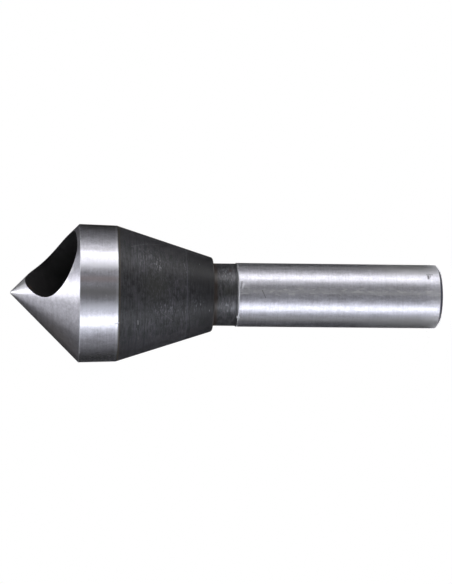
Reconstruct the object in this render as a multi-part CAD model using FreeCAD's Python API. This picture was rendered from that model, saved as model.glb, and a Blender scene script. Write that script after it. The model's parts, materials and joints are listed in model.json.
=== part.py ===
"""Countersink bit: a 90 degree point with a slanting chip hole, on a plain round shank.

The whole tool is one piece of tool steel. It is turned on one axis, bored through
the point at a slant, hardened, and then ground on the cone, the land and the shank.
The tool stands on the flat end of its shank: the origin is the centre of that end
face, and +Z runs along the axis to the tip. The mouth of the chip hole faces +X.
"""
import math
import os

import FreeCAD
import Part

# Driving dimensions: lengths in millimetres, angles in degrees
HEAD_D = 20.5             # across the shoulder, where the cone meets the land
POINT_ANGLE = 90.0        # included angle of the cutting cone
LAND_LENGTH = 5.5         # ground band behind the shoulder
LAND_BACK_TAPER = 1.7     # slope of the land towards the axis, so that only its front rubs
HEAD_LENGTH = 30.0        # tip to the rear face of the head
BODY_TAPER = 18.0         # slope of the unground body behind the land
REAR_BREAK = 0.15         # small chamfer round the rear face of the head
NECK_D = 9.2              # unground neck, a little under the shank
NECK_LENGTH = 3.5         # rear face of the head to the start of the shank
SHANK_D = 9.525           # ground shank, three eighths of an inch
SHANK_LENGTH = 30.7       # ground shank and its end chamfer together
END_CHAMFER_LENGTH = 0.5  # end chamfer, measured along the axis
END_CHAMFER_DEPTH = 0.75  # end chamfer, measured across
HOLE_D = 11.0             # chip hole
HOLE_ANGLE = 45.0         # slant of the chip hole to the axis of the tool
HOLE_CROSSING = 12.4      # tip to the point where the two axes cross


def turned_outline():
    """Corners of half the turned section, as (radius, height), from the end face to the tip.

    Heights are laid off from the end of the shank: first the shank, then the neck,
    then the head, whose cone ends on the axis.
    """
    head_r = HEAD_D / 2
    neck_r = NECK_D / 2
    shank_r = SHANK_D / 2
    neck_z = SHANK_LENGTH
    rear_z = neck_z + NECK_LENGTH
    tip_z = rear_z + HEAD_LENGTH
    shoulder_z = tip_z - head_r / math.tan(math.radians(POINT_ANGLE / 2))
    land_rear_z = shoulder_z - LAND_LENGTH
    land_rear_r = head_r - LAND_LENGTH * math.tan(math.radians(LAND_BACK_TAPER))
    taper = math.tan(math.radians(BODY_TAPER))
    break_r = land_rear_r - (land_rear_z - rear_z - REAR_BREAK) * taper
    return [
        (0.0, 0.0),
        (shank_r - END_CHAMFER_DEPTH, 0.0),
        (shank_r, END_CHAMFER_LENGTH),
        (shank_r, neck_z),
        (neck_r, neck_z),
        (neck_r, rear_z),
        (break_r - REAR_BREAK, rear_z),
        (break_r, rear_z + REAR_BREAK),
        (land_rear_r, land_rear_z),
        (head_r, shoulder_z),
        (0.0, tip_z),
    ]


def turned_blank():
    """The tool before boring: the half section turned once round the axis."""
    points = [FreeCAD.Vector(radius, 0, height) for radius, height in turned_outline()]
    section = Part.Face(Part.makePolygon(points + points[:1]))
    return section.revolve(FreeCAD.Vector(0, 0, 0), FreeCAD.Vector(0, 0, 1), 360)


def chip_hole():
    """A round bar that crosses the axis behind the tip and runs out through both sides.

    It leaves through the cone, where its rim is the cutting edge, and on the other
    side through the body, where the chips fall out.
    """
    tip_z = SHANK_LENGTH + NECK_LENGTH + HEAD_LENGTH
    slant = math.radians(HOLE_ANGLE)
    towards_mouth = FreeCAD.Vector(math.sin(slant), 0, math.cos(slant))
    crossing = FreeCAD.Vector(0, 0, tip_z - HOLE_CROSSING)
    reach = HEAD_D + HEAD_LENGTH
    start = crossing - towards_mouth * reach
    return Part.makeCylinder(HOLE_D / 2, 2 * reach, start, towards_mouth)


def countersink_bit():
    """The finished tool."""
    return turned_blank().cut(chip_hole())


os.makedirs("parts", exist_ok=True)
countersink_bit().exportStep("parts/countersink_bit.step")
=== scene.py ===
import json
import math

import bpy
import numpy as np
from mathutils import Matrix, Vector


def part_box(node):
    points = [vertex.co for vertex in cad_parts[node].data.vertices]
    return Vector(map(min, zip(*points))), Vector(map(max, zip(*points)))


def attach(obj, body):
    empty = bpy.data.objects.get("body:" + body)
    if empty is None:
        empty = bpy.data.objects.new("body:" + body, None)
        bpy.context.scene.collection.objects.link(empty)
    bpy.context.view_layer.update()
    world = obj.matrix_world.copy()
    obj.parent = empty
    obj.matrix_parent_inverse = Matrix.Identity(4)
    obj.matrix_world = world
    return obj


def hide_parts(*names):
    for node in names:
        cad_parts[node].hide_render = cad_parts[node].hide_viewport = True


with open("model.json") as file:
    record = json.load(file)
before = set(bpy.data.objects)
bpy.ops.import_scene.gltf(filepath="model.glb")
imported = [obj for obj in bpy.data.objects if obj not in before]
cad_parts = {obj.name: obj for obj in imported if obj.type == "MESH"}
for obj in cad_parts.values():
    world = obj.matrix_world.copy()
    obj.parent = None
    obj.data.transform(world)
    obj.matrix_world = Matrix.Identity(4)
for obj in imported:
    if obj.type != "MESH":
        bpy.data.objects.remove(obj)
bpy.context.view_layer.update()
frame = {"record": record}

# The countersink bit
# One bar of tool steel, turned on one axis with a 90 degree point and bored through that
# point at a slant to let the chips out. It was blackened when it was hardened, and then
# ground bright on the cone, on the land behind it and on the shank.
MM = 0.001
BIT = "countersink_bit"
SHANK_MOUNT = next(m for m in frame["record"]["mounts"] if m["name"] == "shank")
TIP_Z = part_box(BIT)[1].z
HEAD_R = 10.25 * MM                  # at the shoulder, where the cone meets the land
POINT_SLOPE = math.radians(45.0)     # half of the point's angle
TIP_ROUND = 0.35 * MM                # the very tip is a little blunt
SHOULDER_Z = TIP_Z - HEAD_R / math.tan(POINT_SLOPE)
SHOULDER_ROUND = 0.13 * MM           # the ground corner is a little dulled
LAND_LENGTH = 5.5 * MM
LAND_REAR_Z = SHOULDER_Z - LAND_LENGTH
LAND_SLOPE = math.radians(1.7)       # the land falls away behind its front edge
LAND_REAR_R = HEAD_R - (SHOULDER_Z - LAND_REAR_Z) * math.tan(LAND_SLOPE)
HEAD_LENGTH = 30.0 * MM
HEAD_REAR_Z = TIP_Z - HEAD_LENGTH
BODY_SLOPE = math.radians(17.85)
REAR_BREAK = 0.15 * MM
BREAK_Z = HEAD_REAR_Z + REAR_BREAK
BREAK_R = LAND_REAR_R - (LAND_REAR_Z - BREAK_Z) * math.tan(BODY_SLOPE)
NECK_R = 4.65 * MM
NECK_LENGTH = 3.5 * MM
SHANK_R = SHANK_MOUNT["dims"]["r_mm"] * MM
SHANK_FRONT_Z = HEAD_REAR_Z - NECK_LENGTH
END_CHAMFER_LENGTH = 0.5 * MM
END_CHAMFER_DEPTH = 0.75 * MM
END_R = SHANK_R - END_CHAMFER_DEPTH
HOLE_R = 5.5 * MM
HOLE_SLANT = math.radians(45.0)
HOLE_CROSSING_DEPTH = 12.4 * MM      # behind the tip, where its axis crosses the tool's
MOUTH_NARROWER = 0.42 * MM           # the mouth is out of round by this, at the turn that
MOUTH_NARROWS_AT = math.radians(8.0)       # comes next, and less on either side of it
MOUTH_NARROWS_OVER = math.radians(28.0)
FLANK_TWIST = math.radians(-1.15)    # and its two flanks sit this far round the tool
FLANK_TWIST_OVER = math.radians(35.0)

# Directions of the chip hole: along it to its mouth, and two across it
HOLE_ALONG = np.array([math.sin(HOLE_SLANT), 0.0, math.cos(HOLE_SLANT)])
HOLE_ACROSS = np.array([math.cos(HOLE_SLANT), 0.0, -math.sin(HOLE_SLANT)])
HOLE_SIDE = np.array([0.0, 1.0, 0.0])
HOLE_CENTRE = np.array([0.0, 0.0, TIP_Z - HOLE_CROSSING_DEPTH])

# The finishes, in the order of the material slots
CONE, LAND, SHANK, BODY, NECK, HOLE, END = range(7)


def meeting(turn, radius, apex_z, widening, side):
    """Where the chip hole's wall meets the cone r = widening * (z - apex_z). A line of the
    wall starts beside the hole's centre, its radius turned by `turn` about the slanting
    axis, and runs a distance h along that axis. In x^2 + y^2 = r^2 it gives a quadratic
    a*h^2 + 2*b*h + c = 0, whose root is -c / (b + side * sqrt(b^2 - a*c))."""
    around = np.cos(turn)[..., None] * HOLE_ACROSS + np.sin(turn)[..., None] * HOLE_SIDE
    start = HOLE_CENTRE + np.reshape(radius, np.shape(radius) + (1,)) * around
    height = start[..., 2] - apex_z
    a = HOLE_ALONG[0] ** 2 - (widening * HOLE_ALONG[2]) ** 2
    b = start[..., 0] * HOLE_ALONG[0] - widening ** 2 * height * HOLE_ALONG[2]
    c = start[..., 0] ** 2 + start[..., 1] ** 2 - (widening * height) ** 2
    along = -c / (b + side * np.sqrt(b ** 2 - a * c))
    return start + along[..., None] * HOLE_ALONG


def mouth_rim(turn):
    """Where the hole comes out through the cutting cone. The mouth is a little out of
    round: its radius is less near the land, by a bell curve exp(-x^2) of the turn."""
    signed = np.angle(np.exp(1j * turn))
    narrower = MOUTH_NARROWER * np.exp(-(((signed - MOUTH_NARROWS_AT) / MOUTH_NARROWS_OVER) ** 2))
    return meeting(turn, HOLE_R - narrower, TIP_Z, math.tan(POINT_SLOPE), 1)


def exit_rim(turn):
    """Where the hole's wall comes out behind: through the body, or through the land where
    the wall meets that first."""
    land_k, body_k = math.tan(LAND_SLOPE), math.tan(BODY_SLOPE)
    through_land = meeting(turn, HOLE_R, LAND_REAR_Z - LAND_REAR_R / land_k, land_k, -1)
    through_body = meeting(turn, HOLE_R, LAND_REAR_Z - LAND_REAR_R / body_k, body_k, -1)
    land_first = through_land @ HOLE_ALONG > through_body @ HOLE_ALONG
    return np.where(land_first[..., None], through_land, through_body)


# The turns at which a rim reaches furthest round the tool, and where the exit's rim
# crosses the rear edge of the land. Each gets a column of its own, so no edge is cut short.
FINE_TURNS = 18001                   # one for each hundredth of a degree
fine_turn = np.linspace(0.0, math.pi, FINE_TURNS)
mouth_fine, exit_fine = mouth_rim(fine_turn), exit_rim(fine_turn)
widest_mouth = fine_turn[np.argmax(np.arctan2(mouth_fine[:, 1], mouth_fine[:, 0]))]
widest_exit = fine_turn[np.argmax(np.arctan2(exit_fine[:, 1], -exit_fine[:, 0]))]
land_crossing = np.interp(LAND_REAR_Z, exit_fine[:, 2], fine_turn)


def spaced(ends, step):
    """Values from end to end of each stretch, evenly spaced and about `step` apart."""
    counts = [max(1, round((b - a) / step)) for a, b in zip(ends, ends[1:])]
    parts = [np.linspace(a, b, count + 1)[:-1] for a, b, count in zip(ends, ends[1:], counts)]
    return np.concatenate(parts + [ends[-1:]])


TURN_STEP = math.radians(1.5)        # between columns at the rims
SIDE_STEP = math.radians(2.0)        # and on the flanks between the two rims
half_turn = spaced(np.sort([0.0, widest_mouth, widest_exit, land_crossing, math.pi]), TURN_STEP)
turn = np.concatenate([half_turn, 2.0 * math.pi - half_turn[-2:0:-1]])
signed_turn = np.where(turn > math.pi, turn - 2.0 * math.pi, turn)
mouth, outlet = mouth_rim(turn), exit_rim(turn)

# The mouth's two flanks are turned a little round the tool's axis, by a bell curve again
twist = FLANK_TWIST * np.exp(-(((np.abs(signed_turn) - widest_mouth) / FLANK_TWIST_OVER) ** 2))
mouth_x, mouth_y = mouth[:, 0].copy(), mouth[:, 1].copy()
mouth[:, 0] = mouth_x * np.cos(twist) - mouth_y * np.sin(twist)
mouth[:, 1] = mouth_x * np.sin(twist) + mouth_y * np.cos(twist)


def branch(rim, inside, centre):
    """Azimuths and heights of one branch of a rim, in order round the tool, about `centre`."""
    azimuth = np.arctan2(rim[inside, 1], rim[inside, 0])
    azimuth = centre + np.angle(np.exp(1j * (azimuth - centre)))
    order = np.argsort(azimuth)
    return azimuth[order], rim[inside, 2][order]


SLACK = 1e-9                         # so that the widest turn is in both of its branches
far_side = np.abs(signed_turn)
mouth_top = branch(mouth, far_side >= widest_mouth - SLACK, 0.0)
mouth_foot = branch(mouth, far_side <= widest_mouth + SLACK, 0.0)
outlet_top = branch(outlet, far_side >= widest_exit - SLACK, math.pi)
outlet_foot = branch(outlet, far_side <= widest_exit + SLACK, math.pi)
mouth_side_z = mouth_rim(np.array([widest_mouth]))[0, 2]
outlet_side_z = exit_rim(np.array([widest_exit]))[0, 2]

flank = spaced(np.array([mouth_top[0][-1], outlet_top[0][0]]), SIDE_STEP)[1:-1]
mouth_again = mouth_top[0][0] + 2.0 * math.pi
other_flank = spaced(np.array([outlet_top[0][-1], mouth_again]), SIDE_STEP)[1:-1]


def ring(mouth_branch, outlet_branch, mouth_z, outlet_z, flank_z):
    """Azimuths of the columns round the tool, closed, with a height for each: over the
    mouth, down one flank, over the outlet and back along the other flank."""
    closing = mouth_branch[0][:1] + 2.0 * math.pi
    parts = [mouth_branch[0], flank, outlet_branch[0], other_flank]
    heights = [mouth_z, flank_z, outlet_z, flank_z]
    z = np.concatenate([0.0 * part + height for part, height in zip(parts, heights)])
    return np.concatenate(parts + [closing]), np.append(z, z[0])


def outline_radius(z):
    """Radius of the head's outline at a height: the cone, the land and the body."""
    heights = np.array([TIP_Z, SHOULDER_Z, LAND_REAR_Z, BREAK_Z])
    return np.interp(-z, -heights, [0.0, HEAD_R, LAND_REAR_R, BREAK_R])


def turned(azimuth, z, radius, lean):
    """A turned surface: points at a radius and height, with normals that lean up by `lean`."""
    azimuth, z, radius, lean = np.broadcast_arrays(azimuth, z, radius, lean)
    x, y = np.cos(azimuth), np.sin(azimuth)
    points = np.stack([radius * x, radius * y, z], axis=-1)
    normals = np.stack([np.cos(lean) * x, np.cos(lean) * y, np.sin(lean)], axis=-1)
    return points, normals


def between(upper_z, lower_z, rows):
    """Heights on a grid, evenly spaced down each column from one rim to the next."""
    share = np.linspace(0.0, 1.0, rows + 1)[:, None]
    return upper_z * (1.0 - share) + lower_z * share


# Rings of columns above the mouth, beside it and below the outlet
top_azimuth, mouth_top_z = ring(mouth_top, outlet_top, mouth_top[1], mouth_side_z, mouth_side_z)
mid_azimuth, mouth_foot_z = ring(mouth_foot, outlet_top, mouth_foot[1], mouth_side_z, mouth_side_z)
land_outlet_z = np.maximum(outlet_top[1], LAND_REAR_Z)
_, land_foot_z = ring(mouth_foot, outlet_top, LAND_REAR_Z, land_outlet_z, LAND_REAR_Z)
_, outlet_top_z = ring(mouth_foot, outlet_top, outlet_side_z, outlet_top[1], outlet_side_z)
low_azimuth, outlet_foot_z = ring(
    mouth_foot, outlet_foot, outlet_side_z, outlet_foot[1], outlet_side_z
)

patches = []


def patch(points, normals, finish):
    """Keeps one grid of the surface, with the finish that it has."""
    patches.append((points, normals, finish))


# The tip is part of a ball that runs on into the cone, and the cone and the land meet in
# an arc from the one's lean to the other's
ARC_POINTS = 5
cap_lean = np.linspace(math.pi / 2.0, POINT_SLOPE, ARC_POINTS)[:, None]
cap_centre_z = TIP_Z - TIP_ROUND / math.sin(POINT_SLOPE)
cap_z = cap_centre_z + TIP_ROUND * np.sin(cap_lean) + 0.0 * top_azimuth
cap_radius = TIP_ROUND * np.cos(cap_lean) * (cap_lean < math.pi / 2.0)
patch(*turned(top_azimuth, cap_z, cap_radius, cap_lean), CONE)
cone_rows = between(cap_z[-1], mouth_top_z, rows=14)
patch(*turned(top_azimuth, cone_rows, outline_radius(cone_rows), POINT_SLOPE), CONE)
corner_cut = SHOULDER_ROUND * math.tan((POINT_SLOPE + LAND_SLOPE) / 2.0)
cone_foot_z = SHOULDER_Z + corner_cut * math.cos(POINT_SLOPE)
cone_rows = between(mouth_foot_z, cone_foot_z, rows=12)
patch(*turned(mid_azimuth, cone_rows, outline_radius(cone_rows), POINT_SLOPE), CONE)
arc_lean = np.linspace(POINT_SLOPE, -LAND_SLOPE, ARC_POINTS)[:, None]
arc_centre_r = outline_radius(cone_foot_z) - SHOULDER_ROUND * math.cos(POINT_SLOPE)
arc_centre_z = cone_foot_z - SHOULDER_ROUND * math.sin(POINT_SLOPE)
arc_z = arc_centre_z + SHOULDER_ROUND * np.sin(arc_lean) + 0.0 * mid_azimuth
arc_radius = arc_centre_r + SHOULDER_ROUND * np.cos(arc_lean)
patch(*turned(mid_azimuth, arc_z, arc_radius, arc_lean), LAND)
land_rows = between(arc_z[-1], land_foot_z, rows=10)
patch(*turned(mid_azimuth, land_rows, outline_radius(land_rows), -LAND_SLOPE), LAND)

# The body is widest at the land, and the outlet's rim runs through it
body_foot_z = np.minimum(outlet_top_z, land_foot_z)
body_rows = between(land_foot_z, body_foot_z, rows=14)
patch(*turned(mid_azimuth, body_rows, outline_radius(body_rows), -BODY_SLOPE), BODY)
body_rows = between(outlet_foot_z, BREAK_Z, rows=10)
patch(*turned(low_azimuth, body_rows, outline_radius(body_rows), -BODY_SLOPE), BODY)


def turned_length(upper, lower, rows, finish):
    """A cone, cylinder or flat ring between two (radius, height) corners of the outline."""
    share = np.linspace(0.0, 1.0, rows + 1)[:, None]
    radius = upper[0] * (1.0 - share) + lower[0] * share
    z = upper[1] * (1.0 - share) + lower[1] * share + 0.0 * low_azimuth
    lean = math.atan2(lower[0] - upper[0], upper[1] - lower[1])
    patch(*turned(low_azimuth, z, radius, lean), finish)


# Rear face, neck and shank. The shank's front edge was broken when it was ground. Each
# corner has its radius and height, and the rows and the finish of the length after it.
FRONT_BREAK = SHANK_R - NECK_R
corners = [
    (BREAK_R, BREAK_Z, 1, BODY),
    (BREAK_R - REAR_BREAK, HEAD_REAR_Z, 3, BODY),
    (NECK_R, HEAD_REAR_Z, 8, NECK),
    (NECK_R, SHANK_FRONT_Z, 1, NECK),
    (SHANK_R, SHANK_FRONT_Z - FRONT_BREAK, 40, SHANK),
    (SHANK_R, END_CHAMFER_LENGTH, 2, END),
    (END_R, 0.0, 6, END),
    (0.0, 0.0, 0, END),
]
for upper, lower in zip(corners, corners[1:]):
    turned_length(upper[:2], lower[:2], upper[2], upper[3])

# The chip hole's wall is ruled by straight lines from the mouth's rim to the outlet's
WALL_ROWS = 16
closed_turn = np.append(turn, 2.0 * math.pi)[:, None]
wall_share = np.linspace(0.0, 1.0, WALL_ROWS + 1)[:, None, None]
mouth_loop, outlet_loop = (np.concatenate([rim, rim[:1]]) for rim in (mouth, outlet))
wall = mouth_loop * (1.0 - wall_share) + outlet_loop * wall_share
wall_normal = -(np.cos(closed_turn) * HOLE_ACROSS + np.sin(closed_turn) * HOLE_SIDE)
patch(wall, np.broadcast_to(wall_normal, wall.shape), HOLE)

WELD = 1e-4 * MM                     # points closer than this are one
WELD_SHIFT = 0.31                    # keeps round sizes off the borders of the weld's cells


def woven(patches):
    """One closed mesh from the grids: each grid square is two triangles, points in one cell
    of the weld become one, and triangles that have closed up to a line are dropped."""
    points, normals, triangles, finishes, start = [], [], [], [], 0
    for grid, grid_normals, finish in patches:
        rows, columns = grid.shape[:2]
        index = start + np.arange(rows * columns).reshape(rows, columns)
        square = (index[:-1, :-1], index[1:, :-1], index[1:, 1:], index[:-1, 1:])
        a, b, c, d = (square_corner.ravel() for square_corner in square)
        triangles.append(np.concatenate([np.stack([a, b, c], 1), np.stack([a, c, d], 1)]))
        finishes.append(np.full(len(triangles[-1]), finish))
        points.append(grid.reshape(-1, 3))
        normals.append(grid_normals.reshape(-1, 3))
        start += rows * columns
    points, normals, triangles = (np.concatenate(q) for q in (points, normals, triangles))
    finishes = np.concatenate(finishes)
    cells = np.round(points / WELD + WELD_SHIFT).astype(np.int64)
    _, kept, merged = np.unique(cells, axis=0, return_index=True, return_inverse=True)
    corner_normals = normals[triangles]
    first, second, third = (points[triangles[:, corner]] for corner in range(3))
    across = np.cross(second - first, third - first)
    backward = (across * corner_normals.sum(axis=1)).sum(axis=1) < 0.0
    triangles[backward] = triangles[backward][:, ::-1]
    corner_normals[backward] = corner_normals[backward][:, ::-1]
    triangles = merged.reshape(-1)[triangles]
    whole = (triangles != np.roll(triangles, 1, axis=1)).all(axis=1)
    return points[kept], triangles[whole], corner_normals[whole], finishes[whole]


bit_points, bit_triangles, bit_normals, bit_finishes = woven(patches)
bit_mesh = bpy.data.meshes.new("countersink_bit_surface")
bit_mesh.from_pydata(bit_points, [], bit_triangles)
bit_mesh.polygons.foreach_set("material_index", bit_finishes.astype(np.int32))
bit_mesh.shade_smooth()
bit_mesh.normals_split_custom_set(bit_normals.reshape(-1, 3))
bit_mesh.update()
bit = bpy.data.objects.new("bit_ground_and_blackened", bit_mesh)
bpy.context.scene.collection.objects.link(bit)
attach(bit, "root")
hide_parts(BIT)


# The finishes
# Ground steel carries fine rings from the wheel and a cloudy grain. The black oxide is
# blotched with other tones and ringed by the turning under it, and both are nicked and
# scratched by use. Some of the spots, streaks and edges on both are painted highlights,
# painted reflections and painted shade.
def feed(tree, socket, value):
    """Gives a socket a link from another node's output, or a value, or leaves it."""
    if isinstance(value, bpy.types.NodeSocket):
        tree.links.new(value, socket)
    elif value is not None:
        socket.default_value = value


def node(tree, kind, *values, **settings):
    """Adds a node with its settings, feeds its sockets in order and gives its first output."""
    made = tree.nodes.new(kind)
    for name, setting in settings.items():
        setattr(made, name, setting)
    for socket, value in zip(made.inputs, values):
        feed(tree, socket, value)
    return made.outputs[0] if made.outputs else None


def maths(tree, operation, *values):
    """Arithmetic on numbers."""
    return node(tree, "ShaderNodeMath", *values, operation=operation)


def vectors(tree, operation, *values):
    """Arithmetic on vectors. Dot products and lengths come out of the second socket."""
    made = node(tree, "ShaderNodeVectorMath", *values, operation=operation).node
    return made.outputs[1] if operation in ("DOT_PRODUCT", "LENGTH") else made.outputs[0]


def mixed(tree, share, first, second):
    """The first colour where the share is 0, the second where it is 1."""
    made = tree.nodes.new("ShaderNodeMix")
    made.data_type = "RGBA"
    for index, value in ((0, share), (6, first), (7, second)):
        feed(tree, made.inputs[index], value)
    return made.outputs[2]


def summed(tree, middle, *terms):
    """The middle value plus weight * (pattern - 1/2) for each pattern and its weight."""
    total = middle - 0.5 * sum(weight for _, weight in terms)
    for pattern, weight in terms:
        total = maths(tree, "MULTIPLY_ADD", pattern, weight, total)
    return total


def faded(tree, value, none, full, curve="SMOOTHSTEP"):
    """From 0 where the value is `none` to 1 where it is `full`, along 3x^2 - 2x^3 or a line."""
    return node(tree, "ShaderNodeMapRange", value, none, full, interpolation_type=curve)


def noise(tree, place, scale, detail, roughness):
    """A cloudy pattern about 1/2, with finer patterns on top: how many, and how strong."""
    return node(tree, "ShaderNodeTexNoise", place, None, scale, detail, roughness)


def effect(name, output, **inputs):
    """Starts a node group with its inputs, their first values, and its one output."""
    tree = bpy.data.node_groups.new(name, "ShaderNodeTree")
    for label, value in inputs.items():
        kind = "NodeSocketVector" if isinstance(value, tuple) else "NodeSocketFloat"
        tree.interface.new_socket(label, in_out="INPUT", socket_type=kind).default_value = value
    tree.interface.new_socket(output, in_out="OUTPUT", socket_type="NodeSocketFloat")
    given = tree.nodes.new("NodeGroupInput").outputs
    return tree, given, tree.nodes.new("NodeGroupOutput").inputs[output]


def placed(tree, group, **values):
    """Puts a node group into a material, with its own values."""
    made = tree.nodes.new("ShaderNodeGroup")
    made.node_tree = group
    for label, value in values.items():
        feed(tree, made.inputs[label], value)
    return made.outputs[0]


ORIGIN = (0.0, 0.0, 0.0)

# Mottling: noise of a given size in millimetres along x, y and z. A size that is long
# across the tool and short along it gives the rings of turning and grinding.
mottling, given, gives = effect("mottling", "Shade", Place=ORIGIN, Size=(1.0, 1.0, 1.0))
spread = vectors(mottling, "DIVIDE", given["Place"], given["Size"])
clouds = noise(mottling, spread, scale=1.0, detail=3.0, roughness=0.55)
feed(mottling, gives, faded(mottling, clouds, none=0.3, full=0.7, curve="LINEAR"))

# Scratch: the distance to the nearest point of a line from start to end, which is the
# start plus the line times the clamped share (p . line) / (line . line).
scratch, given, gives = effect(
    "scratch", "Mask", Place=ORIGIN, Start=ORIGIN, End=(1.0, 0.0, 0.0), Reach=0.1
)
line = vectors(scratch, "SUBTRACT", given["End"], given["Start"])
from_start = vectors(scratch, "SUBTRACT", given["Place"], given["Start"])
reached = vectors(scratch, "DOT_PRODUCT", from_start, line)
share = maths(scratch, "DIVIDE", reached, vectors(scratch, "DOT_PRODUCT", line, line))
share = node(scratch, "ShaderNodeClamp", share, 0.0, 1.0)
along_line = node(scratch, "ShaderNodeVectorMath", line, None, None, share, operation="SCALE")
off_line = vectors(scratch, "LENGTH", vectors(scratch, "SUBTRACT", from_start, along_line))
feed(scratch, gives, faded(scratch, off_line, none=given["Reach"], full=0.0))

# Band: a ring round the tool at one height, strongest in its middle, with edges that
# wander up and down a little.
band, given, gives = effect("band", "Mask", Place=ORIGIN, Height=0.0, Reach=1.0, Wander=0.0)
height = node(band, "ShaderNodeSeparateXYZ", given["Place"]).node.outputs[2]
clouds = noise(band, given["Place"], scale=1.6, detail=3.0, roughness=0.6)
height = maths(band, "MULTIPLY_ADD", maths(band, "SUBTRACT", clouds, 0.5), given["Wander"], height)
off_band = maths(band, "ABSOLUTE", maths(band, "SUBTRACT", height, given["Height"]))
feed(band, gives, faded(band, off_band, none=given["Reach"], full=0.0))

# Spot: full at its centre and fading to nothing at its reach along x, y and z. It lays
# blotches of tone, and also painted highlights, reflections and shade.
stain_and_light_spot, given, gives = effect("stain_and_light_spot", "Mask", Place=ORIGIN, Centre=ORIGIN, Reach=(1.0, 1.0, 1.0))
off_centre = vectors(stain_and_light_spot, "SUBTRACT", given["Place"], given["Centre"])
off_centre = vectors(stain_and_light_spot, "LENGTH", vectors(stain_and_light_spot, "DIVIDE", off_centre, given["Reach"]))
feed(stain_and_light_spot, gives, faded(stain_and_light_spot, off_centre, none=1.0, full=0.0))

# Flecks: sparse strokes of a given size in millimetres along x, y and z
flecks, given, gives = effect("flecks", "Mask", Place=ORIGIN, Size=(1.0, 1.0, 1.0))
spread = vectors(flecks, "DIVIDE", given["Place"], given["Size"])
clouds = noise(flecks, spread, scale=1.0, detail=1.0, roughness=0.5)
feed(flecks, gives, faded(flecks, clouds, none=0.53, full=0.68, curve="LINEAR"))

head_outline = [(0.0, TIP_Z), (HEAD_R, SHOULDER_Z), (LAND_REAR_R, LAND_REAR_Z)]
tool_outline = np.array(head_outline + [corner[:2] for corner in corners]) / MM


def on_tool(turn, height):
    """Point of the surface in millimetres: degrees round the tool from the mouth's side,
    and height over the shank's end."""
    radius = np.interp(-height, -tool_outline[:, 1], tool_outline[:, 0])
    turn = math.radians(turn)
    return (radius * math.cos(turn), radius * math.sin(turn), height)


def marked(tree, place, marks):
    """The strongest of several scratches, each from (turn, height) to (turn, height) with
    its half width in millimetres and its strength."""
    total = 0.0
    for turn_a, height_a, turn_b, height_b, reach, strength in marks:
        ends = {"Start": on_tool(turn_a, height_a), "End": on_tool(turn_b, height_b)}
        mask = placed(tree, scratch, Place=place, Reach=reach, **ends)
        total = maths(tree, "MAXIMUM", maths(tree, "MULTIPLY", mask, strength), total)
    return total


def finish(name):
    """A new finish of the bit: its node tree, its shader and the place in millimetres."""
    material = bpy.data.materials.new(name)
    material.use_nodes = True
    bit_mesh.materials.append(material)
    tree = material.node_tree
    where = tree.nodes.new("ShaderNodeTexCoord").outputs["Object"]
    place = node(tree, "ShaderNodeVectorMath", where, None, None, 1.0 / MM, operation="SCALE")
    return tree, tree.nodes["Principled BSDF"], place


def bumped(tree, shader, height, depth):
    """Raises the surface by the height pattern times a depth in millimetres."""
    bump = tree.nodes.new("ShaderNodeBump")
    bump.inputs["Strength"].default_value = 1.0
    bump.inputs["Distance"].default_value = depth * MM
    feed(tree, bump.inputs["Height"], height)
    feed(tree, shader.inputs["Normal"], bump.outputs["Normal"])


DULL_STEEL, BRIGHT_STEEL = (0.40, 0.395, 0.43, 1.0), (0.84, 0.835, 0.905, 1.0)
WORN_EDGE_AND_HIGHLIGHT, DEEP_SCRATCH_AND_SHADE = (0.93, 0.93, 0.95, 1.0), (0.16, 0.155, 0.16, 1.0)
STEEL_AT_A_GLANCE = (0.2, 0.2, 0.21, 1.0)  # tint of what it mirrors at a flat angle
STEEL_GRAIN, OXIDE_GRAIN, OXIDE_CLOUD = (0.30, 0.30, 0.26), (0.24, 0.24, 0.2), (0.9, 0.9, 0.7)
EDGE_WANDER = 0.08


def stained_and_painted(tree, place, colour, stains_and_painted_light):
    """Lays spots of other tones, painted highlights and painted shade over a colour, each at a
    (turn, height) or a point, with its reach across and along the tool, colour and strength,
    and with the size of its flecks if it is broken."""
    for spot, across, along, tint, strength, *fleck in stains_and_painted_light:
        centre = on_tool(*spot) if len(spot) == 2 else spot
        mask = placed(tree, stain_and_light_spot, Place=place, Centre=centre, Reach=(across, across, along))
        mask = maths(tree, "MULTIPLY", mask, strength)
        for size in fleck:
            mask = maths(tree, "MULTIPLY", mask, placed(tree, flecks, Place=place, Size=size))
        colour = mixed(tree, mask, colour, tint)
    return colour


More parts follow.
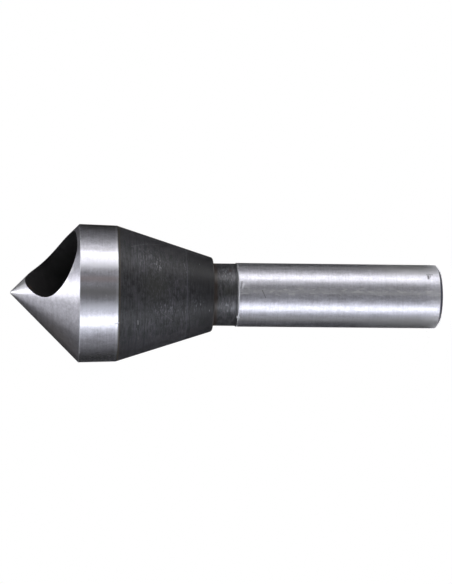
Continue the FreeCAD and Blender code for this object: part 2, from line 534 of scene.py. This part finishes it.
def ground_steel(name, roughness, cloud_size, rings_size, bright_marks, deep_marks_and_shade, edges, stains_and_painted_light):
    """Bright ground steel: clouds, grain and rings of the wheel, then spots of other tones and
    of painted light, edges worn bright and dull that carry a painted highlight, raised bright
    marks and sunken dark ones, some of them painted shade. An edge has its height, reach,
    strength and added roughness."""
    tree, shader, place = finish(name)
    cloud = placed(tree, mottling, Place=place, Size=cloud_size)
    grain = placed(tree, mottling, Place=place, Size=STEEL_GRAIN)
    rings = placed(tree, mottling, Place=place, Size=rings_size)
    shade = summed(tree, 0.5, (cloud, 0.35), (grain, 0.3), (rings, 0.2))
    colour = mixed(tree, shade, DULL_STEEL, BRIGHT_STEEL)
    colour = stained_and_painted(tree, place, colour, stains_and_painted_light)
    rough = summed(tree, roughness, (cloud, 0.03), (grain, 0.02), (rings, 0.015))
    # each edge band is worn steel and a painted highlight along the edge
    for height, reach, strength, dulled in edges:
        mask = placed(tree, band, Place=place, Height=height, Reach=reach, Wander=EDGE_WANDER)
        colour = mixed(tree, maths(tree, "MULTIPLY", mask, strength), colour, WORN_EDGE_AND_HIGHLIGHT)
        rough = maths(tree, "MULTIPLY_ADD", mask, dulled, rough)
    bright, deep_and_shade = marked(tree, place, bright_marks), marked(tree, place, deep_marks_and_shade)
    colour = mixed(tree, deep_and_shade, mixed(tree, bright, colour, WORN_EDGE_AND_HIGHLIGHT), DEEP_SCRATCH_AND_SHADE)
    feed(tree, shader.inputs["Base Color"], colour)
    rough = maths(tree, "MULTIPLY_ADD", bright, 0.5, maths(tree, "MULTIPLY_ADD", deep_and_shade, 0.2, rough))
    feed(tree, shader.inputs["Roughness"], rough)
    shader.inputs["Metallic"].default_value = 1.0
    shader.inputs["Specular Tint"].default_value = STEEL_AT_A_GLANCE
    relief = summed(tree, 0.5, (rings, 0.1), (grain, 0.1), (cloud, 0.5))
    relief = maths(tree, "MULTIPLY_ADD", bright, 12.0, maths(tree, "SUBTRACT", relief, deep_and_shade))
    bumped(tree, shader, relief, depth=0.002)


def black_oxide(name, roughness, gloss, dark, light, rings_size, weights, bands, stains_and_painted_light, marks):
    """Blackened steel: turned rings, clouds and grain between a dark and a light tone, with
    their weights, spots of other tones, some of them painted highlights, painted light and
    painted shade, bands of other tones, and marks that bare the steel. A band has its height,
    reach, wander, tone and strength."""
    tree, shader, place = finish(name)
    cloud = placed(tree, mottling, Place=place, Size=OXIDE_CLOUD)
    grain = placed(tree, mottling, Place=place, Size=OXIDE_GRAIN)
    rings = placed(tree, mottling, Place=place, Size=rings_size)
    colour = mixed(tree, summed(tree, 0.5, *zip((rings, cloud, grain), weights)), dark, light)
    colour = stained_and_painted(tree, place, colour, stains_and_painted_light)
    for height, reach, wander, tone, strength in bands:
        mask = placed(tree, band, Place=place, Height=height, Reach=reach, Wander=wander)
        colour = mixed(tree, maths(tree, "MULTIPLY", mask, strength), colour, tone)
    bare = marked(tree, place, marks)
    feed(tree, shader.inputs["Base Color"], mixed(tree, bare, colour, WORN_EDGE_AND_HIGHLIGHT))
    feed(tree, shader.inputs["Metallic"], bare)
    rough = summed(tree, roughness, (rings, 0.10), (cloud, 0.08), (grain, 0.05))
    feed(tree, shader.inputs["Roughness"], rough)
    shader.inputs["Specular IOR Level"].default_value = gloss
    bumped(tree, shader, summed(tree, 0.5, (rings, 0.8), (grain, 0.3)), depth=0.006)


# Ground cone, land and shank: white, pale, grey and darker streaks and spots along the
# tool, many of them painted highlights, painted reflections and painted shade where the
# lamps and the floor are mirrored, with a nick on the land's rear edge, scratches on the
# shank and a small V near the shank's end
SHOULDER_MM, LAND_REAR_MM = SHOULDER_Z / MM, LAND_REAR_Z / MM
PALE_HIGHLIGHT_AND_FLECK, GREY_SHADE_AND_STREAK = (0.84, 0.84, 0.90, 1.0), (0.40, 0.39, 0.40, 1.0)
PINK_STEEL, DARK_STEEL = (0.64, 0.55, 0.565, 1.0), (0.20, 0.195, 0.19, 1.0)
HIGHLIGHT_AND_SPECKLE_WHITE, PAINTED_SHADE_STEEL = (0.96, 0.96, 0.97, 1.0), (0.22, 0.22, 0.235, 1.0)
WARM_STEEL, RUBBED_STEEL = (0.66, 0.60, 0.56, 1.0), (0.36, 0.36, 0.37, 1.0)
STROKE = (0.5, 0.5, 0.14)            # size of the flecks in most broken stains
EDGE_NICK = (-78.6, 48.8, -78.0, 48.36, 0.12, 0.9)

ground_steel(
    "ground_cone", roughness=0.31, cloud_size=(0.65, 0.65, 0.8), rings_size=(7.0, 7.0, 0.4),
    bright_marks=[], deep_marks_and_shade=[], edges=[(SHOULDER_MM, 0.08, 0.15, 0.0)],
    stains_and_painted_light=[
        # painted highlights: the white spots at the tip
        ((-8.0, 62.4), 2.6, 2.6, HIGHLIGHT_AND_SPECKLE_WHITE, 1.0),
        ((-115.0, 57.0), 5.0, 8.0, WARM_STEEL, 0.35),
        ((8.0, 54.2), 2.5, 0.6, DARK_STEEL, 0.5),
        ((0.0, 0.0, 64.2), 1.6, 1.6, HIGHLIGHT_AND_SPECKLE_WHITE, 1.0),
        # painted highlights: white spots along the cone's bright wedge near the shoulder
        ((-31.0, 55.3), 0.9, 0.9, HIGHLIGHT_AND_SPECKLE_WHITE, 0.8),
        ((-40.5, 56.0), 1.0, 1.0, HIGHLIGHT_AND_SPECKLE_WHITE, 0.8),
        ((-50.0, 57.0), 0.9, 0.9, HIGHLIGHT_AND_SPECKLE_WHITE, 0.6),
        ((-30.0, 54.5), 0.9, 0.6, GREY_SHADE_AND_STREAK, 0.4),
    ],
)
ground_steel(
    "ground_land", roughness=0.40, cloud_size=(0.65, 0.65, 1.1), rings_size=(7.0, 7.0, 0.2),
    bright_marks=[
        EDGE_NICK,
        (-55.5, 50.24, -54.5, 50.24, 0.12, 0.5),
        (-48.0, 51.48, -47.0, 51.5, 0.1, 0.4),
        (-111.5, 53.9, -109.5, 53.9, 0.12, 0.9),
    ],
    deep_marks_and_shade=[], edges=[(SHOULDER_MM, 0.09, 0.3, 0.1), (LAND_REAR_MM + 0.2, 0.25, 0.35, 0.0)],
    stains_and_painted_light=[
        # painted highlights: pale streaks on the inner sides of the two strips' reflections;
        # painted shade: grey streaks in the dip between them and just outside them, beside a pink
        # streak
        ((-30.1, 51.3), 1.2, 12.0, PALE_HIGHLIGHT_AND_FLECK, 0.8),
        ((-63.5, 51.3), 1.2, 12.0, PALE_HIGHLIGHT_AND_FLECK, 0.8),
        ((-52.5, 51.3), 1.5, 12.0, GREY_SHADE_AND_STREAK, 0.9),
        ((-41.5, 51.3), 0.8, 12.0, PINK_STEEL, 0.7),
        ((-14.5, 51.3), 0.6, 12.0, GREY_SHADE_AND_STREAK, 0.4),
        ((-83.7, 51.3), 0.6, 12.0, GREY_SHADE_AND_STREAK, 0.25),
        ((-10.0, 48.47), 4.5, 0.15, DEEP_SCRATCH_AND_SHADE, 0.9),
        # darker broken streaks near the outline on both sides of the land, with white flecks
        ((27.0, 51.3), 4.0, 12.0, DARK_STEEL, 0.9),
        ((-121.0, 51.3), 3.2, 12.0, DARK_STEEL, 0.55),
        ((-124.0, 51.3), 3.6, 12.0, DARK_STEEL, 0.8, (0.3, 0.3, 0.3)),
        ((-124.0, 51.3), 3.6, 12.0, HIGHLIGHT_AND_SPECKLE_WHITE, 0.6, (0.27, 0.27, 0.25)),
    ],
)
ground_steel(
    "ground_shank", roughness=0.43, cloud_size=(0.40, 0.40, 1.6), rings_size=(7.0, 7.0, 0.2),
    bright_marks=[(-42.1, 30.05, -32.8, 29.83, 0.15, 1.0), (-99.5, 30.42, -97.5, 30.40, 0.18, 1.0)],
    deep_marks_and_shade=[
        (-40.3, 30.26, -29.0, 30.09, 0.13, 0.6),
        (-45.3, 27.1, -57.6, 26.64, 0.10, 0.7),
        (-10.0, 2.4, -10.0, 1.5, 0.15, 0.75),
        (-13.0, 2.2, -19.0, 2.18, 0.28, 0.95),
        (-13.0, 1.85, -16.0, 1.95, 0.2, 0.6),
        # painted shade: dark marks along the shank's front edge, stronger towards the outline on
        # either side
        (0.0, 30.5, 9.0, 30.5, 0.16, 0.45),
        (9.0, 30.5, 18.0, 30.5, 0.16, 0.6),
        (18.0, 30.5, 27.0, 30.5, 0.16, 0.7),
        (-108.0, 30.5, -117.0, 30.5, 0.16, 0.5),
        (-117.0, 30.5, -126.0, 30.5, 0.16, 0.7),
    ],
    edges=[(30.52, 0.13, 1.0, 0.57)],
    stains_and_painted_light=[
        ((10.7, 22.65), 0.6, 0.6, DEEP_SCRATCH_AND_SHADE, 0.35),
        # painted highlight: a white, broken streak along the middle where the card by the camera is
        # mirrored
        ((-46.8, 16.0), 0.6, 60.0, HIGHLIGHT_AND_SPECKLE_WHITE, 0.4),
        ((-46.5, 16.0), 1.1, 60.0, HIGHLIGHT_AND_SPECKLE_WHITE, 1.0, (0.32, 0.32, 1.1)),
        # painted reflection of the floor: white on both flanks near the foot
        ((-118.0, 5.0), 3.0, 12.0, HIGHLIGHT_AND_SPECKLE_WHITE, 1.0),
        ((14.0, 4.6), 3.0, 10.0, HIGHLIGHT_AND_SPECKLE_WHITE, 1.0),
        # painted highlights: faint white streaks on both flanks, outside the strips' reflections
        ((-101.9, 18.0), 1.0, 40.0, HIGHLIGHT_AND_SPECKLE_WHITE, 0.4),
        ((7.0, 18.0), 0.7, 40.0, HIGHLIGHT_AND_SPECKLE_WHITE, 0.4),
        # painted shade: dimmer steel at the foot, between and beside the strips' reflections
        ((-49.0, 0.2), 2.0, 2.2, PAINTED_SHADE_STEEL, 0.8),
        ((-110.0, 0.4), 1.9, 2.2, PAINTED_SHADE_STEEL, 0.8),
        ((5.0, 0.2), 1.5, 2.2, PAINTED_SHADE_STEEL, 0.7),
        # painted highlight: the same streak low on the shank
        ((-49.5, 8.0), 0.4, 9.0, HIGHLIGHT_AND_SPECKLE_WHITE, 0.4),
    ],
)

# Black body and neck: rings left by turning, a brown line at each ground edge, rubbed and
# flecked places, fine scratches that bare the steel, lighter patches on the neck painted
# where the strips are mirrored, as painted highlights, and a painted white glint
BLACK, GREY_BLACK = (0.010, 0.010, 0.0113, 1.0), (0.064, 0.062, 0.068, 1.0)
OLIVE, PALE_BLUE = (0.036, 0.036, 0.031, 1.0), (0.115, 0.117, 0.135, 1.0)
HEAT_BROWN, DARK_BROWN = (0.095, 0.075, 0.042, 1.0), (0.042, 0.026, 0.018, 1.0)
BLUE_GREY, NECK_HIGHLIGHT_BLACK = (0.22, 0.22, 0.25, 1.0), (0.14, 0.14, 0.15, 1.0)
DEEP_BLACK, RUBBED_BLACK = (0.006, 0.006, 0.006, 1.0), (0.085, 0.085, 0.090, 1.0)

black_oxide(
    "black_body", roughness=0.48, gloss=0.5, dark=BLACK, light=GREY_BLACK,
    rings_size=(1.7, 1.7, 0.2), weights=(0.85, 0.6, 0.36),
    bands=[
        (LAND_REAR_MM - 0.2, 0.16, 0.05, HEAT_BROWN, 0.6),
        (46.72, 0.12, 0.05, BLACK, 0.5),
        (45.7, 0.12, 0.05, BLACK, 0.5),
        (44.53, 0.12, 0.05, BLACK, 0.6),
        (38.3, 0.13, 0.05, PALE_BLUE, 0.45),
        (37.86, 0.14, 0.05, BLACK, 0.7),
        (34.9, 3.6, 0.6, BLACK, 0.6),
        (34.22, 0.2, 0.05, DARK_BROWN, 0.6),
    ],
    stains_and_painted_light=[
        ((-46.0, 43.0), 3.8, 3.2, OLIVE, 0.75),
        ((-21.0, 36.8), 4.6, 3.8, BLACK, 0.95),
        ((-90.0, 48.4), 4.5, 0.13, GREY_SHADE_AND_STREAK, 0.9),
        ((-15.0, 45.2), 3.6, 1.8, BLUE_GREY, 0.8, (1.8, 1.8, 0.13)),
        ((-95.0, 44.0), 5.5, 4.0, BLUE_GREY, 0.25, (2.0, 2.0, 0.13)),
        ((-23.0, 45.4), 2.2, 2.2, PALE_BLUE, 0.15),
        ((-100.0, 45.5), 6.0, 5.0, PALE_BLUE, 0.15),
        ((-5.0, 45.5), 5.0, 4.0, PALE_BLUE, 0.12),
        ((-15.0, 44.4), 3.8, 2.6, BLUE_GREY, 0.4, STROKE),
        ((-22.0, 42.6), 1.6, 1.0, PALE_HIGHLIGHT_AND_FLECK, 0.3, STROKE),
        ((-69.0, 41.4), 1.3, 3.2, BLUE_GREY, 0.7, STROKE),
        ((-12.0, 38.6), 3.0, 0.5, BLUE_GREY, 0.5, STROKE),
        ((-68.0, 36.6), 1.6, 1.6, BLUE_GREY, 0.6, STROKE),
        ((-60.0, 41.5), 16.0, 9.0, BLUE_GREY, 0.2, STROKE),
    ],
    marks=[
        EDGE_NICK,
        (-78.3, 45.56, -82.4, 45.51, 0.10, 0.25),
        (-86.4, 45.72, -100.4, 45.34, 0.09, 0.10),
        (-6.8, 46.51, 4.0, 44.09, 0.10, 0.08),
        (4.0, 44.09, 11.6, 41.66, 0.10, 0.08),
        (-18.5, 42.72, -20.5, 42.72, 0.10, 0.12),
        (-24.0, 42.3, -26.0, 42.3, 0.10, 0.10),
        (-7.0, 36.4, -9.0, 36.4, 0.10, 0.12),
        (-67.3, 40.5, -69.3, 40.5, 0.09, 0.10),
        (-73.8, 38.54, -75.8, 38.54, 0.09, 0.10),
        (-66.2, 36.32, -68.2, 36.32, 0.09, 0.12),
        (-76.6, 34.93, -78.6, 34.93, 0.10, 0.15),
        (-72.8, 42.11, -84.2, 40.43, 0.08, 0.08),
    ],
)
black_oxide(
    "black_neck", roughness=0.42, gloss=0.5, dark=BLACK, light=RUBBED_BLACK,
    rings_size=(1.1, 1.1, 0.28), weights=(1.0, 0.4, 0.3),
    # a dark brown band round the neck beside the head, and a near-black ring above the break
    bands=[(33.95, 0.55, 0.3, DARK_BROWN, 0.8), (30.88, 0.2, 0.03, DEEP_BLACK, 0.3)],
    stains_and_painted_light=[
        # painted highlights: lighter patches and strokes where the two strips are mirrored on the
        # neck
        ((-13.0, 32.1), 2.2, 2.2, NECK_HIGHLIGHT_BLACK, 0.4),
        ((-75.5, 32.1), 2.0, 2.2, NECK_HIGHLIGHT_BLACK, 0.4),
        ((-13.0, 32.1), 2.4, 2.2, BLUE_GREY, 1.0, (0.55, 0.55, 0.17)),
        ((-75.5, 32.1), 2.2, 2.2, BLUE_GREY, 1.0, (0.55, 0.55, 0.17)),
        ((-14.0, 31.25), 1.8, 0.4, BLUE_GREY, 0.4),
        ((-75.5, 31.3), 1.5, 0.4, BLUE_GREY, 0.7),
        ((-2.3, 31.7), 0.9, 0.5, DARK_BROWN, 0.6),
        ((-46.0, 32.0), 1.6, 2.0, OLIVE, 0.5),
        ((-48.0, 30.64), 5.6, 0.14, RUBBED_STEEL, 0.9),
        # painted glint: a white dot on the shank's front break
        ((-98.1, 30.62), 0.45, 0.22, HIGHLIGHT_AND_SPECKLE_WHITE, 1.0),
    ],
    marks=[],
)

# The bore is near black but for painted light just inside its mouth, painted shade beside
# it and a brown patch at the rim, and the shank's end has a blue tone
BORE_BLACK, BORE_GREY = (0.011, 0.011, 0.0115, 1.0), (0.028, 0.026, 0.027, 1.0)
BORE_LIT, BROWN_RIM = (0.08, 0.078, 0.08, 1.0), (0.16, 0.075, 0.03, 1.0)
DARK_BLUE, LIGHT_BLUE = (0.009, 0.009, 0.036, 1.0), (0.020, 0.020, 0.058, 1.0)
black_oxide(
    "black_hole", roughness=0.6, gloss=0.5, dark=BORE_BLACK, light=BORE_GREY,
    rings_size=(0.5, 0.5, 0.5), weights=(0.5, 0.4, 0.4), bands=[],
    stains_and_painted_light=[
        # painted light just inside the mouth, and painted shade further in beside it
        ((2.2, 5.2, 56.2), 2.6, 3.0, BORE_LIT, 0.9),
        ((6.9, 5.0, 55.3), 3.0, 2.6, BLACK, 0.9),
        ((1.2, -0.9, 61.5), 0.9, 0.9, BROWN_RIM, 0.9),
    ],
    marks=[],
)
black_oxide(
    "black_end", roughness=0.4, gloss=0.1, dark=DARK_BLUE, light=LIGHT_BLUE,
    rings_size=(2.0, 2.0, 0.3), weights=(0.3, 0.4, 0.4), bands=[], stains_and_painted_light=[], marks=[],
)

# The camera
# It looks across the standing tool from beside the mouth of the chip hole, and it is
# rolled on its side, so that the tip points left in the picture.
CAMERA_TURN = math.radians(-53.3)    # round the tool from the mouth's side
CAMERA_DISTANCE = 292.17 * MM        # from the tool's axis
CAMERA_HEIGHT = TIP_Z - 4.60 * MM
CAMERA_YAW, CAMERA_PITCH, CAMERA_ROLL = -0.09405, -0.00135, 0.0101  # from a square view, in radians
FOCAL_PIXELS = 1966.55               # focal length in pixels of a picture 584 high
PICTURE_HEIGHT = 584.0
towards_camera = np.array([math.cos(CAMERA_TURN), math.sin(CAMERA_TURN), 0.0])
picture_up = np.array([-math.sin(CAMERA_TURN), math.cos(CAMERA_TURN), 0.0])
tip_to_end = np.array([0.0, 0.0, -1.0])


def turning(axis, angle):
    """Rotation by an angle about one of the camera's own axes."""
    return np.array(Matrix.Rotation(angle, 3, axis))


aim = turning("Z", CAMERA_ROLL) @ turning("X", CAMERA_PITCH) @ turning("Y", CAMERA_YAW)
right, down, forward = aim @ np.array([tip_to_end, -picture_up, -towards_camera])
camera_place = np.eye(4)
camera_place[:3, :3] = np.stack([right, -down, -forward], axis=1)
camera_place[:3, 3] = CAMERA_DISTANCE * towards_camera + [0.0, 0.0, CAMERA_HEIGHT]
camera_data = bpy.data.cameras.new("camera")
camera_data.sensor_width = 36.0
camera_data.lens = FOCAL_PIXELS * camera_data.sensor_width / PICTURE_HEIGHT
camera_data.clip_start, camera_data.clip_end = 0.01, 10.0
camera = bpy.data.objects.new("camera", camera_data)
camera.matrix_world = Matrix(camera_place.tolist())
bpy.context.scene.collection.objects.link(camera)
bpy.context.scene.camera = camera

# The light tent
# A dim round tent that the camera looks through and the bright steel mirrors: two tall
# soft strips of light beside the camera, a lamp overhead and pale cards round that.
TENT_RADIUS = 0.6
TENT_CENTRE = np.array([0.0, 0.0, 0.8 * TIP_Z])  # level with the body


def tent_direction(azimuth, elevation):
    """Unit direction from the tool, by azimuth from the camera and height over the horizon."""
    azimuth, elevation = np.broadcast_arrays(np.radians(azimuth), np.radians(elevation))
    flat = np.cos(azimuth)[..., None] * towards_camera + np.sin(azimuth)[..., None] * picture_up
    upright = np.array([0.0, 0.0, 1.0])
    return np.cos(elevation)[..., None] * flat + np.sin(elevation)[..., None] * upright


def lit_window(direction, azimuth, elevation, half_width, half_height, fade_width, fade_height):
    """Share of light, from 0 to 1, in a window round one direction. Its half sizes and the
    soft borders inside them are in degrees, and a border follows 3x^2 - 2x^3."""
    ahead = direction @ tent_direction(azimuth, elevation)
    across = np.degrees(np.arctan2(direction @ tent_direction(azimuth + 90.0, 0.0), ahead))
    above = np.degrees(np.arctan2(direction @ tent_direction(azimuth, elevation + 90.0), ahead))
    x = np.clip((half_width - np.abs(across)) / fade_width, 0.0, 1.0)
    y = np.clip((half_height - np.abs(above)) / fade_height, 0.0, 1.0)
    return np.where(ahead > 0.0, x * x * (3.0 - 2.0 * x) * y * y * (3.0 - 2.0 * y), 0.0)


TENT_COLUMNS, TENT_ROWS = 240, 120
FRONT_WALL, BACK_WALL = 0.095, 0.02  # glow of the plain cloth beside the camera and opposite
tent_azimuth = np.linspace(0.0, 360.0, TENT_COLUMNS + 1)[None, :]
tent_elevation = np.linspace(-90.0, 90.0, TENT_ROWS + 1)[:, None]
towards = tent_direction(tent_azimuth, tent_elevation)
frontness = 0.5 + 0.5 * np.cos(np.radians(tent_azimuth))
cloth = BACK_WALL + (FRONT_WALL - BACK_WALL) * frontness + 0.0 * tent_elevation
glow = cloth[..., None] * np.array([1.0, 1.0, 1.03])

# Each light has its level and colour, and then the numbers of its window
for level, colour, window in (
    (4.15, (1.0, 1.0, 1.02), (65.8, 0.0, 11.2, 45.0, 6.1, 8.0)),       # tall strip, above in view
    (4.60, (0.97, 1.0, 1.07), (-47.0, 0.0, 9.3, 45.0, 2.8, 8.0)),      # tall cooler strip below
    (0.42, (1.0, 1.0, 1.0), (11.5, 0.0, 6.0, 45.0, 5.0, 8.0)),         # narrow card by the camera
    (0.43, (1.0, 1.0, 1.0), (92.0, 0.0, 9.0, 45.0, 8.0, 8.0)),         # pale cards on either side
    (0.32, (1.0, 1.0, 1.0), (-88.0, 0.0, 9.0, 45.0, 8.0, 8.0)),
    (2.25, (1.0, 1.0, 1.02), (90.0, 85.7, 10.1, 9.2, 2.1, 2.1)),       # lamp overhead
    (1.00, (1.0, 1.0, 1.03), (-100.0, 72.4, 35.0, 36.7, 44.6, 44.6)),  # pale cards beside it
    (0.58, (1.0, 1.0, 1.05), (100.0, 74.9, 35.0, 18.6, 1.1, 1.1)),
    (0.26, (1.0, 1.0, 1.0), (150.0, 32.0, 22.0, 20.0, 14.0, 14.0)),    # pale cards high behind
    (0.12, (1.03, 1.0, 0.97), (-150.0, 30.0, 22.0, 20.0, 14.0, 14.0)),
    (2.6, (1.0, 1.0, 1.03), (122.0, -50.0, 12.0, 14.0, 6.0, 6.0)),     # low lamps behind
    (2.6, (1.0, 1.0, 1.03), (-122.0, -50.0, 12.0, 14.0, 6.0, 6.0)),
):
    glow = glow + level * lit_window(towards, *window)[..., None] * np.array(colour)


def sheet_mesh(name, points):
    """A mesh of squares from points on a grid."""
    rows, columns = points.shape[:2]
    index = np.arange(rows * columns).reshape(rows, columns)
    squares = np.stack([index[:-1, :-1], index[1:, :-1], index[1:, 1:], index[:-1, 1:]], axis=-1)
    mesh = bpy.data.meshes.new(name)
    mesh.from_pydata(points.reshape(-1, 3), [], squares.reshape(-1, 4))
    return mesh


tent_mesh = sheet_mesh("tent", TENT_CENTRE + TENT_RADIUS * towards)
glow_colours = np.concatenate([glow, np.ones(glow.shape[:2] + (1,))], axis=-1).astype(np.float32)
glow_data = tent_mesh.attributes.new("glow", "FLOAT_COLOR", "POINT").data
glow_data.foreach_set("color", glow_colours.ravel())
tent_light = bpy.data.materials.new("tent_light")
tent_light.use_nodes = True
tree = tent_light.node_tree
tree.nodes.clear()
glow_colour = node(tree, "ShaderNodeAttribute", attribute_name="glow")
node(tree, "ShaderNodeOutputMaterial", node(tree, "ShaderNodeEmission", glow_colour, 1.0))
tent_mesh.materials.append(tent_light)
tent = bpy.data.objects.new("tent", tent_mesh)
bpy.context.scene.collection.objects.link(tent)
tent.visible_camera = False

# The floor
# A small plain pale disc under the tool. It shows white to the camera, keeps the tool's
# shadow near the foot, and fades out before its rim.
FLOOR_RADIUS = 11.0 * MM
FLOOR_FADES_AT = 5.0 * MM
FLOOR_DROP = 0.02 * MM               # just under the shank's end
FLOOR_GLOW = 0.85                    # seen by the camera, on top of the light it returns
FLOOR_COLUMNS, FLOOR_ROWS = 96, 14
PALE, WHITE = (0.8, 0.8, 0.8, 1.0), (1.0, 1.0, 1.0, 1.0)
floor_turn = np.linspace(0.0, 2.0 * math.pi, FLOOR_COLUMNS + 1)[None, :]
floor_reach = np.linspace(0.0, FLOOR_RADIUS, FLOOR_ROWS + 1)[:, None]
floor_points, _ = turned(floor_turn, -FLOOR_DROP, floor_reach, 0.0)
floor_mesh = sheet_mesh("floor", floor_points)
floor = bpy.data.objects.new("floor", floor_mesh)
bpy.context.scene.collection.objects.link(floor)
floor_paint = bpy.data.materials.new("floor_paint")
floor_paint.use_nodes = True
tree = floor_paint.node_tree
tree.nodes.clear()
light_path = tree.nodes.new("ShaderNodeLightPath").outputs
seen = maths(tree, "ADD", light_path["Is Camera Ray"], light_path["Is Glossy Ray"])
seen = maths(tree, "MINIMUM", maths(tree, "ADD", seen, light_path["Is Transmission Ray"]), 1.0)
seen_glow = maths(tree, "MULTIPLY", seen, FLOOR_GLOW)
white = node(tree, "ShaderNodeEmission", WHITE, seen_glow)
paint = node(tree, "ShaderNodeBsdfDiffuse", PALE)
paint = node(tree, "ShaderNodeAddShader", paint, white)
where = tree.nodes.new("ShaderNodeTexCoord").outputs["Object"]
fade = faded(tree, vectors(tree, "LENGTH", where), none=FLOOR_RADIUS, full=FLOOR_FADES_AT)
clear = node(tree, "ShaderNodeBsdfTransparent")
node(tree, "ShaderNodeOutputMaterial", node(tree, "ShaderNodeMixShader", fade, clear, paint))
floor_mesh.materials.append(floor_paint)

# The background is plain white
world = bpy.data.worlds.new("white_background")
world.use_nodes = True
background = world.node_tree.nodes["Background"]
background.inputs["Color"].default_value = WHITE
background.inputs["Strength"].default_value = 1.0
bpy.context.scene.world = world
bpy.context.scene.view_settings.view_transform = "Standard"
